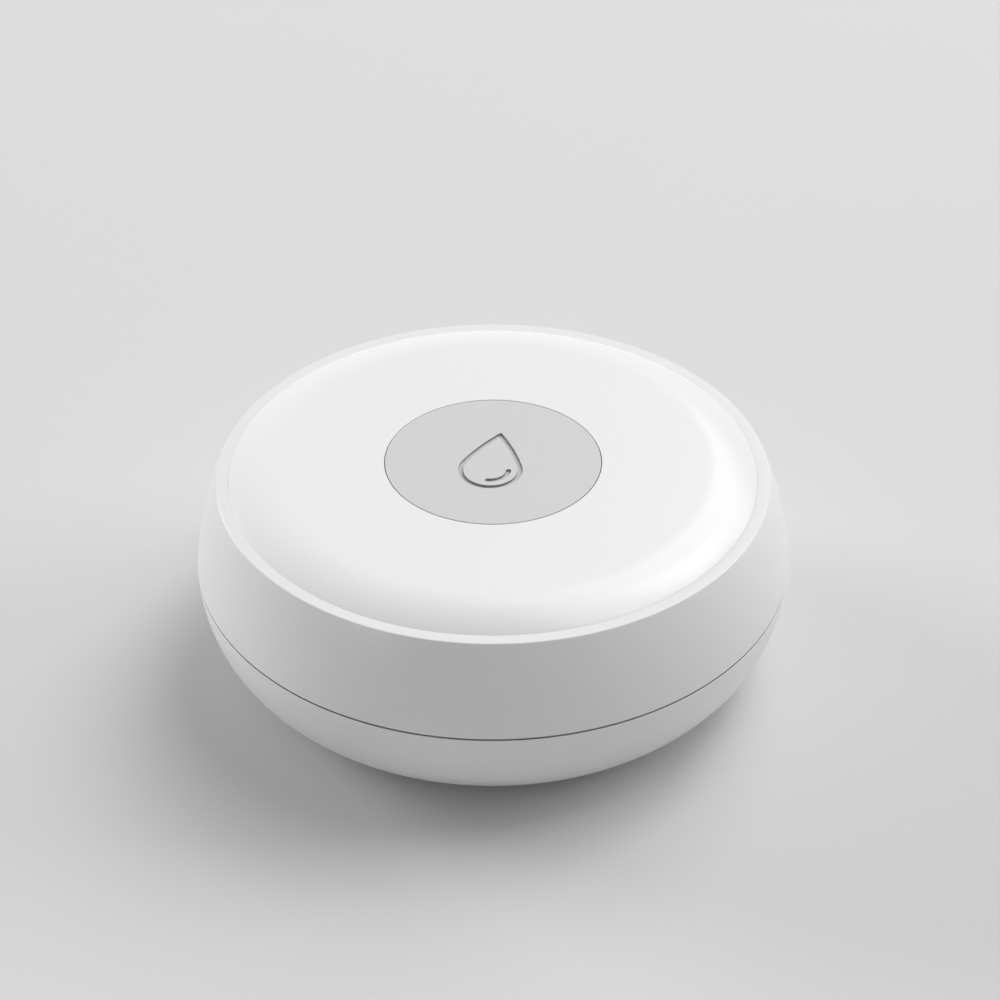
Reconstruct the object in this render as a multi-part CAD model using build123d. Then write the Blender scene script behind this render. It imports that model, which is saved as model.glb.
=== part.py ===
from build123d import *
import os
from math import cos, radians, sin

# A round, battery-powered water leak sensor. All lengths are in millimetres.
# The origin lies under the middle, on the surface that the sensor stands on, and +Z points up.
# The pictogram on the button is read from the -Y side.

# Overall form
probe_stand = 0.6  # how far the probe heads hold the base off the surface
lower_depth = 11.1  # base to parting line
parting_gap = 0.15
base_margin = 0.2  # from the screw recesses to where the underside starts to curve up
side_taper = 2.45  # how much narrower the rim is than the parting line
side_bulge = 0.35  # how far the upper side stands out from a straight cone
rim_width = 1.2
crown_rise = 1.2  # rim to the flat top
crown_slope_width = 4.87  # from the cover's edge in to the flat top
rim_round = 0.2  # radius on the rim's outer edge
parting_round = 0.1  # radius on both edges of the parting line

# Walls of the two shells
side_wall = 1.8
lower_wall = 1.8
base_thickness = 2.0
deck_thickness = 1.4

# Fits
overrun = 1.0  # how far every cut runs past its face
seat_gap = 0.03  # round a piece that is pressed or screwed into its seat
hole_gap = 0.2  # round a screw that passes through

# Top cover
cover_gap = 0.04  # hairline between the cover and the rim
cover_thickness = 1.8
cover_skirt_wall = 1.2
hook_inset = 0.3  # from the skirt's outside to the hook's
hook_reach = 0.6  # how far a hook's barb stands out
hook_barb_height = 0.6
hook_gap = 0.1  # between barb and deck
hook_window_gap = 0.15
hook_sweep = 10.0  # degrees
hook_window_sweep = 12.0  # degrees
hook_angles = (45, 135, 225, 315)

# Button
button_radius = 10.74
button_gap = 0.12  # the seam round the button
button_travel = 0.4
button_top_thickness = 1.6
button_skirt_wall = 1.2
button_edge_round = 0.1
button_rib_thickness = 0.8
guide_length = 3.6  # how deep the cover's hole guides the button
flange_reach = 0.86
flange_thickness = 0.7
flange_gap = 0.2
stop_gap = 0.05  # between the flange and the stop above it
flange_floor_gap = 0.25  # left under the flange when the button is down
collar_wall = 1.2
stem_radius = 2.0

# Pictogram: a water drop, about the centre of its round end
drop_centre_x = -0.26
drop_centre_y = -1.67
drop_radius = 3.2
drop_tip_distance = 6.6
drop_shoulder_angle = 21.0  # degrees, where the round end meets the flanks
drop_turn = -9.3  # degrees
groove_width = 0.5
groove_depth = 0.25
highlight_radius = 1.8
highlight_width = 0.5
highlight_start = -99.0  # degrees
highlight_sweep = 93.0  # degrees

# Silicone boot under the button
boot_flange_thickness = 0.6
boot_thickness = 0.5
boot_overlap = 0.5  # how far the flange reaches over the hole in the deck
boot_flange_width = 4.0
boot_rise = 0.5  # from the nub's top to the deck's
nub_radius = 2.6
nub_height = 1.2

# Push switch
switch_width = 6.0
switch_height = 3.4
switch_lead_width = 0.7
switch_lead_thickness = 0.3
switch_lead_reach = 1.2
switch_lead_offset = 2.25
plunger_radius = 1.75
plunger_rise = 0.9
plunger_depth = 0.7
plunger_gap = 0.08
plunger_floor_gap = 0.2

# Circuit board and what it carries
board_thickness = 1.2
board_edge_gap = 1.1
radio_depth = 12.0
radio_width = 14.0
radio_thickness = 0.8
radio_start = 7.4  # from the middle axis to the radio's board
radio_angle = 45
shield_inset = 0.8
shield_height = 1.9
shield_wall = 0.25
antenna_length = 7.0
antenna_width = 2.0
antenna_height = 0.9
antenna_gap = 1.0  # between the radio's board and the aerial
antenna_margin = 3.2  # from the aerial to the board's edge
chip_length = 5.0
chip_width = 4.0
chip_height = 1.5
chip_lead_pitch = 1.27
chip_lead_width = 0.45
chip_lead_reach = 0.9
chip_lead_height = 0.5
chip_lead_count = 4
chip_circle_radius = 12.0
chip_angle = 315
capacitor_length = 2.0
capacitor_width = 1.25
capacitor_height = 0.9
capacitor_pitch = 2.4
capacitor_count = 4
capacitor_gap = 1.2  # between the chip and the row of capacitors
led_length = 2.0
led_width = 1.25
led_base_height = 0.4
led_lens_length = 1.3
led_height = 0.9
led_circle_radius = 5.8
buzzer_radius = 6.0
buzzer_wall = 0.8
buzzer_step = 0.6  # width of the step that the disc lies on
buzzer_disc_thickness = 0.3
buzzer_disc_rise = 1.6
buzzer_hole_radius = 1.0
buzzer_headroom = 0.4  # between the buzzer and the deck
buzzer_circle_radius = 14.7
buzzer_angle = 225

# Coin cell
cell_radius = 12.25
cell_height = 5.0
cell_cap_inset = 1.25  # from the cell's side to its cap's
cell_cap_step = 0.3
cell_gasket_width = 0.3
cell_gasket_depth = 0.15
cell_edge_round = 0.6
cell_gap = 0.1  # between the cell and the door
cell_pocket_gap = 0.3  # round the cell

# Leaf springs
leaf_thickness = 0.3
leaf_bend = 0.5
contact_room = 2.3  # between the cell and the board
negative_width = 4.0
negative_pad_start = -6.5
negative_pad_end = -2.5
negative_touch = 3.0
negative_tail = 5.2
negative_tail_rise = 0.6
positive_width = 4.0
positive_pad_length = 3.6
positive_leg_gap = 1.05  # from the cell's side to the straight leg
positive_leg_share = 0.35  # of the room beside the cell, down to where the leg turns in
positive_touch_share = 0.7  # of that room, down to where the leaf touches the cell
positive_tail_share = 0.95  # of that room, down to the leaf's end
positive_tail_gap = 0.5
probe_leaf_width = 1.6
probe_pad_start = 4.5
probe_pad_end = 2.3
probe_foot = 0.9

# Battery door and its bay
door_thickness = 1.6
door_gap = 0.12
door_rest_gap = 0.15  # between the door's rim and the ledge above it
door_running_gap = 0.05
neck_wall = 0.8
neck_height = 2.8
neck_gap = 0.1
ledge_thickness = 1.05
lug_reach = 0.8
lug_thickness = 1.0
lug_gap = 0.15
lug_sweep = 30.0  # degrees
lug_angles = (90, 210, 330)
notch_sweep = 36.0  # degrees
unlock_turn = 45.0  # degrees, clockwise from above
stop_sweep = 8.0  # degrees
stop_slack = 1.5  # degrees
door_seal_width = 0.8
door_seal_depth = 0.5
door_seal_margin = 0.2
coin_slot_length = 16.0
coin_slot_width = 2.2
coin_slot_depth = 0.9
bay_wall = 1.0
bay_board_gap = 0.3
rib_sweep = 8.0  # degrees
rib_gap = 0.2
rib_angles = (60, 180, 300)

# Joint between the two shells
lip_wall = 1.0
lip_height = 1.4
lip_gap = 0.5
rim_flange_depth = 1.8
housing_seal_width = 1.0
housing_seal_depth = 1.0

# Housing screws, from below, and their rubber plugs
screw_recess_wall = 0.98  # between the door's recess and the screws' recesses
screw_angles = (0, 90, 180, 270)
screw_radius = 1.0
screw_length = 10.0
screw_head_radius = 1.9
screw_head_height = 1.2
screw_recess_depth = 3.6
screw_recess_radius = 2.1
screw_tip_room = 0.5
lower_boss_radius = 2.9
upper_boss_radius = 2.6
plug_gap = 0.05
plug_inset = 0.15
plug_head_gap = 0.15
head_round = 0.4
screw_point = 0.5
cross_length = 1.8
cross_width = 0.45
cross_depth = 0.5

# Board screws, from above
board_screw_margin = 3.0  # from the board's edge to the screws' middle
board_screw_angles = (112.5, 202.5, 337.5)
board_screw_radius = 0.85
board_screw_length = 5.0
board_screw_head_radius = 1.6
board_screw_head_height = 1.0
post_radius = 1.9

# Sensing probes, which are also the feet
probe_margin = 1.58  # between the door's recess and the probe heads
probe_angles = (45, 135, 225, 315)
probe_head_radius = 1.7
probe_head_round = 0.2
probe_pin_radius = 1.0
probe_pin_end = 0.6
probe_seal_radius = 1.9
probe_seal_thickness = 0.8
probe_clip_thickness = 0.4

# Heights of the lower shell
base_z = probe_stand
floor_top = base_z + base_thickness
lower_top = base_z + lower_depth
upper_bottom = lower_top + parting_gap

# Heights, from the battery door up to the crown
door_top = base_z + door_thickness
recess_top = door_top + door_rest_gap
ledge_top = recess_top + ledge_thickness
lug_bottom = ledge_top + door_running_gap
lug_top = lug_bottom + lug_thickness
neck_top = door_top + neck_height
cell_bottom = door_top + cell_gap
cell_top = cell_bottom + cell_height
cell_shoulder = cell_top - cell_cap_step
board_bottom = cell_top + contact_room
board_top = board_bottom + board_thickness
bay_top = board_bottom - bay_board_gap
switch_top = board_top + switch_height
plunger_top = switch_top + plunger_rise
nub_top = plunger_top + nub_height
deck_top = nub_top + boot_rise
deck_bottom = deck_top - deck_thickness
collar_bottom = deck_top + boot_flange_thickness
flange_bottom = collar_bottom + flange_floor_gap + button_travel
flange_top = flange_bottom + flange_thickness
guide_bottom = flange_top + stop_gap
crown_top = guide_bottom + guide_length
rim_top = crown_top - crown_rise
leaf_pad = board_bottom - leaf_thickness / 2
buzzer_top = deck_bottom - buzzer_headroom
shoulder_z = base_z + screw_recess_depth
screw_tip = shoulder_z + screw_length
pin_top = floor_top + probe_seal_thickness + probe_clip_thickness + probe_pin_end

# Radii of the button, and of the cell, its door and what lies round them
button_hole_radius = button_radius + button_gap
button_room_radius = button_radius - button_skirt_wall
flange_radius = button_radius + flange_reach
flange_bore_radius = flange_radius + flange_gap
collar_radius = flange_bore_radius + collar_wall
deck_hole_radius = collar_radius - boot_flange_width + boot_overlap
cell_cap_radius = cell_radius - cell_cap_inset
cell_pocket_radius = cell_radius + cell_pocket_gap
neck_radius = cell_pocket_radius + neck_wall
ledge_radius = neck_radius + neck_gap
lug_radius = neck_radius + lug_reach
bay_radius = lug_radius + lug_gap
door_seal_inner = bay_radius + door_seal_margin
door_seal_outer = door_seal_inner + door_seal_width
door_radius = door_seal_outer + door_seal_margin
door_recess_radius = door_radius + door_gap
bay_outer_radius = door_recess_radius + bay_wall
screw_circle_radius = door_recess_radius + screw_recess_wall + screw_recess_radius
probe_circle_radius = door_recess_radius + probe_margin + probe_head_radius
flat_base_radius = screw_circle_radius + screw_recess_radius + base_margin

# Radii from the radio on the board out to the shells and the cover
radio_circle_radius = radio_start + radio_depth / 2
antenna_start = radio_start + radio_depth + antenna_gap
board_radius = antenna_start + antenna_width + antenna_margin
board_screw_circle_radius = board_radius - board_screw_margin
lip_inner = board_radius + board_edge_gap
lip_outer = lip_inner + lip_wall
seal_inner = lip_outer + lip_gap
seal_outer = seal_inner + housing_seal_width
body_radius = seal_inner + side_wall  # widest, at the parting line
rim_outer_radius = body_radius - side_taper
seat_radius = rim_outer_radius - rim_width
cover_radius = seat_radius - cover_gap
crown_flat_radius = cover_radius - crown_slope_width
skirt_inner_radius = cover_radius - cover_skirt_wall
hook_outer_radius = cover_radius - hook_inset


def disc(radius, low, high, x=0, y=0):
    """Upright cylinder between two heights."""
    solid = Cylinder(radius, high - low, align=(Align.CENTER, Align.CENTER, Align.MIN))
    return Pos(x, y, low) * solid


def ring(outer, inner, low, high, x=0, y=0):
    """Upright ring between two heights."""
    return disc(outer, low, high, x, y) - disc(inner, low - overrun, high + overrun, x, y)


def sector(outer, inner, low, high, middle, sweep):
    """Part of an upright ring about the middle axis, centred on an angle."""
    pie = Cylinder(outer, high - low, arc_size=sweep, align=(Align.NONE, Align.NONE, Align.MIN))
    pie = Pos(0, 0, low) * Rot(0, 0, middle - sweep / 2) * pie
    return pie - disc(inner, low - overrun, high + overrun)


def block(length, width, low, high, x=0, y=0, turn=0):
    """Upright block between two heights, turned about its own middle."""
    solid = Box(length, width, high - low, align=(Align.CENTER, Align.CENTER, Align.MIN))
    return Pos(x, y, low) * Rot(0, 0, turn) * solid


def turned(*outline):
    """Solid of revolution about Z, from a closed outline of radius and height."""
    face = make_face(Curve() + list(outline))
    return revolve(Plane.XZ * face, axis=Axis.Z)


def on_circle(radius, angle):
    """X and Y of a place on a circle about the middle axis."""
    return radius * cos(radians(angle)), radius * sin(radians(angle))


def circle_edges(shape, radius, height):
    """The full circles of one radius at one height."""
    rounds = shape.edges().filter_by(GeomType.CIRCLE)
    level = [edge for edge in rounds if abs(edge.center().Z - height) < seat_gap / 2]
    return [edge for edge in level if abs(edge.radius - radius) < seat_gap / 2]


def group(pieces):
    """Separate solids that share one node."""
    return Compound([piece.solid() for piece in pieces])


def strip(width, *points):
    """Bent sheet-metal strip that follows points of X and Z, centred on Y = 0."""
    line = FilletPolyline(*points, radius=leaf_bend)
    section = Plane.XZ * SlotArc(line, leaf_thickness)
    return extrude(section, amount=width / 2, both=True)


def pan_screw(head_radius, head_height, radius, length):
    """Cross-recessed screw, its head below the origin and its shank pointing up."""
    head = disc(head_radius, -head_height, 0)
    head = fillet(circle_edges(head, head_radius, -head_height), head_round)
    shank = disc(radius, 0, length)
    shank = chamfer(circle_edges(shank, radius, length), screw_point)
    screw = head + shank
    low = -head_height - overrun
    high = cross_depth - head_height
    for turn in (0, 90):
        screw -= block(cross_length, cross_width, low, high, turn=turn)
    return screw


def bowl(radius, low):
    """Solid with a flat base whose side is a quarter of an ellipse, up to the parting line."""
    side = EllipticalCenterArc(
        (flat_base_radius, lower_top),
        radius - flat_base_radius,
        lower_top - low,
        start_angle=270,
        arc_size=90,
    )
    return turned(
        Line((0, low), (flat_base_radius, low)),
        side,
        Line((radius, lower_top), (0, lower_top)),
        Line((0, lower_top), (0, low)),
    )


def barrel(inset):
    """Solid inside the upper side's curve, or inside its wall where inset is the wall."""
    foot = (body_radius - inset, upper_bottom)
    belly_radius = (body_radius + rim_outer_radius) / 2 + side_bulge - inset
    belly = (belly_radius, (upper_bottom + rim_top) / 2)
    top = (rim_outer_radius - inset, rim_top)
    return turned(
        Line((0, upper_bottom), foot),
        ThreePointArc(foot, belly, top),
        Line(top, (0, rim_top)),
        Line((0, rim_top), (0, upper_bottom)),
    )


def upper_shell():
    """Tapering side with the light rim, and a deck inside with windows for the cover's hooks."""
    shell = barrel(0)
    shell = fillet(circle_edges(shell, rim_outer_radius, rim_top), rim_round)
    shell = fillet(circle_edges(shell, body_radius, upper_bottom), parting_round)
    shell -= barrel(side_wall) - disc(body_radius, deck_bottom, rim_top + overrun)
    shell -= disc(seat_radius, deck_top, rim_top + overrun)
    shell -= disc(deck_hole_radius, deck_bottom - overrun, deck_top + overrun)
    for angle in hook_angles:
        window_outer = hook_outer_radius + hook_window_gap
        window_inner = skirt_inner_radius - hook_window_gap
        low = deck_bottom - overrun
        high = deck_top + overrun
        shell -= sector(window_outer, window_inner, low, high, angle, hook_window_sweep)
    for angle in screw_angles:
        x, y = on_circle(screw_circle_radius, angle)
        shell += disc(upper_boss_radius, board_top, deck_top, x, y)
        shell -= disc(screw_radius + seat_gap, board_top - overrun, screw_tip + screw_tip_room, x, y)
    return shell


def top_cover():
    """Domed disc with a skirt that stands on the deck and a stepped collar that guides the button."""
    crown_edge = (crown_flat_radius, crown_top)
    skirt_edge = (cover_radius, rim_top)
    cover = turned(
        Line((0, deck_top), (cover_radius, deck_top)),
        Line((cover_radius, deck_top), skirt_edge),
        TangentArc(crown_edge, skirt_edge, tangent=(1, 0)),
        Line(crown_edge, (0, crown_top)),
        Line((0, crown_top), (0, deck_top)),
    )
    cover -= disc(skirt_inner_radius, deck_top - overrun, crown_top - cover_thickness)
    cover += disc(collar_radius, collar_bottom, crown_top - cover_thickness / 2)
    cover -= disc(flange_bore_radius, collar_bottom - overrun, guide_bottom)
    cover -= disc(button_hole_radius, collar_bottom - overrun, crown_top + overrun)
    barb_top = deck_bottom - hook_gap
    barb_bottom = barb_top - hook_barb_height
    for angle in hook_angles:
        hook_top = deck_top + cover_skirt_wall
        cover += sector(hook_outer_radius, skirt_inner_radius, barb_bottom, hook_top, angle, hook_sweep)
        barb_radius = hook_outer_radius + hook_reach
        cover += sector(barb_radius, skirt_inner_radius, barb_bottom, barb_top, angle, hook_sweep)
    return cover


def drop_outline():
    """Face of the water drop, about the centre of its round end, with its tip on +Y."""
    shoulder_x, shoulder_y = on_circle(drop_radius, drop_shoulder_angle)
    right = (shoulder_x, shoulder_y)
    left = (-shoulder_x, shoulder_y)
    tip = (0, drop_tip_distance)
    return make_face(
        Curve()
        + [
            ThreePointArc(left, (0, -drop_radius), right),
            TangentArc(right, tip, tangent=(-shoulder_y, shoulder_x)),
            TangentArc(left, tip, tangent=(shoulder_y, shoulder_x)),
        ]
    )


def pictogram():
    """Cutter for the drop's groove and the short stroke of its highlight."""
    outline = drop_outline()
    groove = Rot(0, 0, drop_turn) * (outline - offset(outline, amount=-groove_width))
    stroke_line = CenterArc((0, 0), highlight_radius, highlight_start, highlight_sweep)
    figure = groove + SlotArc(stroke_line, highlight_width)
    figure = Pos(drop_centre_x, drop_centre_y, crown_top - groove_depth) * figure
    return extrude(figure, amount=groove_depth + overrun)


def button_cap():
    """Flush round button with a guiding skirt, a flange that stops it and a stem in its middle."""
    room_top = crown_top - button_top_thickness
    cap = disc(button_radius, flange_bottom, crown_top)
    cap = fillet(circle_edges(cap, button_radius, crown_top), button_edge_round)
    cap += disc(flange_radius, flange_bottom, flange_top)
    cap -= disc(button_room_radius, flange_bottom - overrun, room_top)
    stem_top = crown_top - button_top_thickness / 2
    cap += disc(stem_radius, nub_top, stem_top)
    for turn in (0, 90):
        rib_length = 2 * button_room_radius + button_skirt_wall
        cap += block(rib_length, button_rib_thickness, flange_top, stem_top, turn=turn)
    return cap - pictogram()


def button_boot():
    """Silicone membrane with a clamped flange and a nub between the button and the switch."""
    boot_inner = deck_hole_radius - boot_overlap
    outline = Polyline(
        (0, plunger_top),
        (nub_radius, plunger_top),
        (nub_radius, nub_top - boot_thickness),
        (boot_inner, deck_top),
        (collar_radius, deck_top),
        (collar_radius, collar_bottom),
        (boot_inner, collar_bottom),
        (nub_radius, nub_top),
        (0, nub_top),
        close=True,
    )
    return turned(outline)


def tact_switch():
    """Push switch with a bore for its plunger and two pairs of leads."""
    switch = block(switch_width, switch_width, board_top, switch_top)
    lead_length = switch_width + 2 * switch_lead_reach
    for side in (-1, 1):
        lead_y = side * switch_lead_offset
        lead_top = board_top + switch_lead_thickness
        switch += block(lead_length, switch_lead_width, board_top, lead_top, y=lead_y)
    bore_bottom = switch_top - plunger_depth - button_travel - plunger_floor_gap
    return switch - disc(plunger_radius + plunger_gap, bore_bottom, switch_top + overrun)


def tact_plunger():
    """Round plunger of the push switch."""
    return disc(plunger_radius, switch_top - plunger_depth, plunger_top)


def circuit_board():
    """Round board, clamped between the screw bosses."""
    board = disc(board_radius, board_bottom, board_top)
    low = board_bottom - overrun
    high = board_top + overrun
    for angle in screw_angles:
        x, y = on_circle(screw_circle_radius, angle)
        board -= disc(screw_radius + hole_gap, low, high, x, y)
    for angle in board_screw_angles:
        x, y = on_circle(board_screw_circle_radius, angle)
        board -= disc(board_screw_radius + hole_gap, low, high, x, y)
    return board


def board_screws():
    """Three screws that hold the board on its posts."""
    screws = []
    for angle in board_screw_angles:
        x, y = on_circle(board_screw_circle_radius, angle)
        screw = pan_screw(
            board_screw_head_radius,
            board_screw_head_height,
            board_screw_radius,
            board_screw_length,
        )
        screws.append(Pos(x, y, board_top) * Rot(180, 0, 0) * screw)
    return group(screws)


def radio_module():
    """Small board that carries the radio."""
    x, y = on_circle(radio_circle_radius, radio_angle)
    return block(radio_depth, radio_width, board_top, board_top + radio_thickness, x, y, radio_angle)


def radio_shield():
    """Sheet-metal can over the radio."""
    x, y = on_circle(radio_circle_radius, radio_angle)
    low = board_top + radio_thickness
    high = low + shield_height
    depth = radio_depth - 2 * shield_inset
    width = radio_width - 2 * shield_inset
    can = block(depth, width, low, high, x, y, radio_angle)
    room_depth = depth - 2 * shield_wall
    room_width = width - 2 * shield_wall
    return can - block(room_depth, room_width, low - overrun, high - shield_wall, x, y, radio_angle)


def chip_antenna():
    """Ceramic aerial beside the radio, near the board's edge."""
    x, y = on_circle(antenna_start + antenna_width / 2, radio_angle)
    high = board_top + antenna_height
    return block(antenna_width, antenna_length, board_top, high, x, y, radio_angle)


def sensing_chip():
    """Small-outline chip with a row of leads on each side."""
    chip = block(chip_width, chip_length, board_top, board_top + chip_height)
    lead_length = chip_width + 2 * chip_lead_reach
    for number in range(chip_lead_count):
        lead_y = (number - (chip_lead_count - 1) / 2) * chip_lead_pitch
        chip += block(lead_length, chip_lead_width, board_top, board_top + chip_lead_height, y=lead_y)
    x, y = on_circle(chip_circle_radius, chip_angle)
    return Pos(x, y, 0) * Rot(0, 0, chip_angle) * chip


def chip_capacitors():
    """Row of small capacitors beside the sensing chip."""
    lead_end = chip_width / 2 + chip_lead_reach
    radius = chip_circle_radius + lead_end + capacitor_gap + capacitor_length / 2
    capacitors = []
    for number in range(capacitor_count):
        across = (number - (capacitor_count - 1) / 2) * capacitor_pitch
        high = board_top + capacitor_height
        piece = block(capacitor_length, capacitor_width, board_top, high, radius, across)
        capacitors.append(Rot(0, 0, chip_angle) * piece)
    return group(capacitors)


def status_led():
    """Light under the button, seen through the boot."""
    led = block(led_length, led_width, board_top, board_top + led_base_height)
    led += block(led_lens_length, led_width, board_top, board_top + led_height)
    return Pos(-led_circle_radius, 0, 0) * led


def buzzer_case():
    """Round sounder case with a sound hole and a step inside for its disc."""
    x, y = on_circle(buzzer_circle_radius, buzzer_angle)
    room_radius = buzzer_radius - buzzer_wall
    step_z = board_top + buzzer_disc_rise
    case = disc(buzzer_radius, board_top, buzzer_top, x, y)
    case -= disc(room_radius, step_z, buzzer_top - buzzer_wall, x, y)
    case -= disc(room_radius - buzzer_step, board_top + buzzer_wall, step_z + overrun, x, y)
    return case - disc(buzzer_hole_radius, step_z, buzzer_top + overrun, x, y)


def buzzer_disc():
    """Brass disc that sounds the alarm."""
    x, y = on_circle(buzzer_circle_radius, buzzer_angle)
    step_z = board_top + buzzer_disc_rise
    radius = buzzer_radius - buzzer_wall - seat_gap
    return disc(radius, step_z, step_z + buzzer_disc_thickness, x, y)


def coin_cell():
    """Coin cell with its smaller, negative face up."""
    cell = disc(cell_radius, cell_bottom, cell_shoulder)
    cell = fillet(circle_edges(cell, cell_radius, cell_bottom), cell_edge_round)
    cell += disc(cell_cap_radius, cell_bottom + cell_edge_round, cell_top)
    gasket_outer = cell_cap_radius + cell_gasket_width
    gasket_low = cell_shoulder - cell_gasket_depth
    return cell - ring(gasket_outer, cell_cap_radius, gasket_low, cell_shoulder + overrun)


def cell_contact_negative():
    """Leaf spring from the board down onto the cell's cap."""
    touch_z = cell_top + leaf_thickness / 2
    return strip(
        negative_width,
        (negative_pad_start, leaf_pad),
        (negative_pad_end, leaf_pad),
        (negative_touch, touch_z),
        (negative_tail, touch_z + negative_tail_rise),
    )


def cell_contact_positive():
    """Leaf spring from the board down beside the cell, bowed in against its side."""
    touch_x = cell_radius + leaf_thickness / 2
    leg_x = cell_radius + positive_leg_gap
    room = leaf_pad - neck_top
    return strip(
        positive_width,
        (leg_x - positive_pad_length, leaf_pad),
        (leg_x, leaf_pad),
        (leg_x, leaf_pad - positive_leg_share * room),
        (touch_x, leaf_pad - positive_touch_share * room),
        (touch_x + positive_tail_gap, leaf_pad - positive_tail_share * room),
    )


def probe_contacts():
    """Leaf springs from the board down onto the probes."""
    foot_z = pin_top + leaf_thickness / 2
    leaf = strip(
        probe_leaf_width,
        (probe_circle_radius + probe_pad_start, leaf_pad),
        (probe_circle_radius + probe_pad_end, leaf_pad),
        (probe_circle_radius + probe_foot, foot_z),
        (probe_circle_radius - probe_foot, foot_z),
    )
    return group([Rot(0, 0, angle) * leaf for angle in probe_angles])


def shell_fixtures():
    """All that stands inside the lower shell: bay wall, ledge, bosses, posts and rim flange."""
    fixtures = ring(bay_outer_radius, bay_radius, base_z, bay_top)
    fixtures += ring(bay_outer_radius, ledge_radius, base_z, ledge_top)
    for angle in rib_angles:
        low = neck_top + rib_gap
        fixtures += sector(bay_outer_radius, cell_pocket_radius, low, bay_top, angle, rib_sweep)
    for angle in lug_angles:
        half = (lug_sweep + stop_sweep) / 2 + stop_slack
        for middle in (angle + half, angle - unlock_turn - half):
            fixtures += sector(bay_outer_radius, ledge_radius, base_z, lug_top, middle, stop_sweep)
    for angle in screw_angles:
        x, y = on_circle(screw_circle_radius, angle)
        boss = disc(lower_boss_radius, base_z, board_bottom, x, y)
        fixtures += boss - disc(bay_radius, base_z - overrun, board_bottom + overrun)
    for angle in board_screw_angles:
        x, y = on_circle(board_screw_circle_radius, angle)
        fixtures += disc(post_radius, base_z, board_bottom, x, y)
    fixtures += ring(body_radius, lip_inner, lower_top - rim_flange_depth, lower_top)
    return fixtures


def lower_shell():
    """Bowl-shaped underside with the battery bay, the screw recesses and the probes' holes."""
    shell = bowl(body_radius, base_z)
    shell = fillet(circle_edges(shell, body_radius, lower_top), parting_round)
    shell -= bowl(body_radius - lower_wall, floor_top) - shell_fixtures()
    shell += ring(lip_outer, lip_inner, lower_top - rim_flange_depth, lower_top + lip_height)
    shell -= ring(seal_outer, seal_inner, lower_top - housing_seal_depth, lower_top + overrun)
    below = base_z - overrun
    shell -= disc(door_recess_radius, below, recess_top)
    shell -= disc(ledge_radius, below, ledge_top)
    for angle in lug_angles:
        shell -= sector(bay_radius, 0, below, ledge_top, angle - unlock_turn, notch_sweep)
    for angle in screw_angles:
        x, y = on_circle(screw_circle_radius, angle)
        shell -= disc(screw_recess_radius, below, shoulder_z, x, y)
        shell -= disc(screw_radius + hole_gap, below, board_bottom + overrun, x, y)
    for angle in board_screw_angles:
        x, y = on_circle(board_screw_circle_radius, angle)
        pilot_bottom = board_top - board_screw_length - screw_tip_room
        shell -= disc(board_screw_radius + seat_gap, pilot_bottom, board_bottom + overrun, x, y)
    for angle in probe_angles:
        x, y = on_circle(probe_circle_radius, angle)
        shell -= disc(probe_pin_radius + seat_gap, below, floor_top + overrun, x, y)
    return shell


def housing_seal():
    """Gasket in the lower shell's groove, pressed by the upper shell."""
    low = lower_top - housing_seal_depth
    return ring(seal_outer - seat_gap, seal_inner + seat_gap, low, upper_bottom)


def housing_screws():
    """Four screws from below that clamp both shells and the board."""
    screws = []
    for angle in screw_angles:
        x, y = on_circle(screw_circle_radius, angle)
        screw = pan_screw(screw_head_radius, screw_head_height, screw_radius, screw_length)
        screws.append(Pos(x, y, shoulder_z) * screw)
    return group(screws)


def screw_plugs():
    """Rubber plugs that close the screw recesses."""
    top = shoulder_z - screw_head_height - plug_head_gap
    plugs = []
    for angle in screw_angles:
        x, y = on_circle(screw_circle_radius, angle)
        plugs.append(disc(screw_recess_radius - plug_gap, base_z + plug_inset, top, x, y))
    return group(plugs)


def probe_pins():
    """Four metal pins whose flat heads stand on the surface."""
    pins = []
    for angle in probe_angles:
        x, y = on_circle(probe_circle_radius, angle)
        head = disc(probe_head_radius, 0, base_z, x, y)
        head = fillet(circle_edges(head, probe_head_radius, 0), probe_head_round)
        pins.append(head + disc(probe_pin_radius, 0, pin_top, x, y))
    return group(pins)


def probe_seals():
    """Silicone rings that seal the probes inside the shell."""
    seals = []
    for angle in probe_angles:
        x, y = on_circle(probe_circle_radius, angle)
        top = floor_top + probe_seal_thickness
        seals.append(ring(probe_seal_radius, probe_pin_radius + seat_gap, floor_top, top, x, y))
    return group(seals)


def probe_clips():
    """Push-on washers that hold the probes."""
    low = floor_top + probe_seal_thickness
    clips = []
    for angle in probe_angles:
        x, y = on_circle(probe_circle_radius, angle)
        high = low + probe_clip_thickness
        clips.append(ring(probe_seal_radius, probe_pin_radius + seat_gap, low, high, x, y))
    return group(clips)


def battery_door():
    """Round door with a coin slot, a neck round the cell and three bayonet lugs."""
    door = disc(door_radius, base_z, door_top)
    door += ring(neck_radius, cell_pocket_radius, base_z, neck_top)
    for angle in lug_angles:
        door += sector(lug_radius, cell_pocket_radius, lug_bottom, lug_top, angle, lug_sweep)
    door -= ring(door_seal_outer, door_seal_inner, door_top - door_seal_depth, door_top + overrun)
    slot_top = base_z + coin_slot_depth
    return door - block(coin_slot_length, coin_slot_width, base_z - overrun, slot_top)


def door_seal():
    """Gasket ring in the door, just clear of the ledge that it seals on."""
    low = door_top - door_seal_depth
    high = recess_top - door_running_gap
    return ring(door_seal_outer - seat_gap, door_seal_inner + seat_gap, low, high)


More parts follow.
